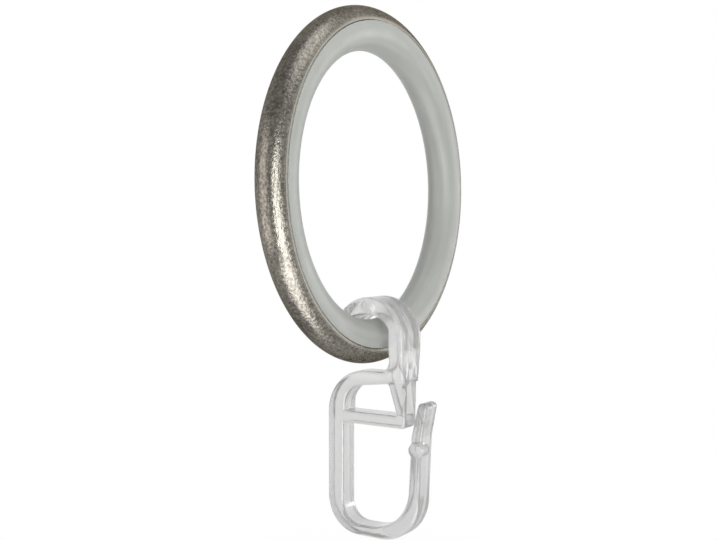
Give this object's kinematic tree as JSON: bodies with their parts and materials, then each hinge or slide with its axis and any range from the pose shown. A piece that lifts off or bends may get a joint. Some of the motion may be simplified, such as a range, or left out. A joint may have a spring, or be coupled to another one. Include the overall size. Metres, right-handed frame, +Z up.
{
  "type": "curtain ring with hook",
  "caption": "Curtain ring with a brushed metal shell, a milky plastic glide liner and a clear clip-on hook for curtain heading tape.",
  "frame": {"origin": "centre of the ring's opening, on the axis of the curtain rod", "axes": "+Y along the curtain rod, +Z up as the ring hangs, +X across the ring; the hook hangs at the ring's bottom, with its open prong towards -Y"},
  "size_m": [0.04, 0.0131, 0.0597],
  "materials": {
    "brushed_nickel": "nickel-coloured, finely brushed",
    "milky_plastic": "milky, satin",
    "clear_plastic": "clear, glossy"
  },
  "bodies": {
    "ring": {"ring_shell": "brushed_nickel", "glide_liner": "milky_plastic"},
    "hook": {"hook": "clear_plastic"}
  },
  "joints": [
    {"name": "hook_swing", "type": "hinge", "parent": "ring", "child": "hook", "pos_m": [0, -0.0007, -0.0175], "axis": [1, 0, 0], "range_deg": [-90, 90]}
  ]
}
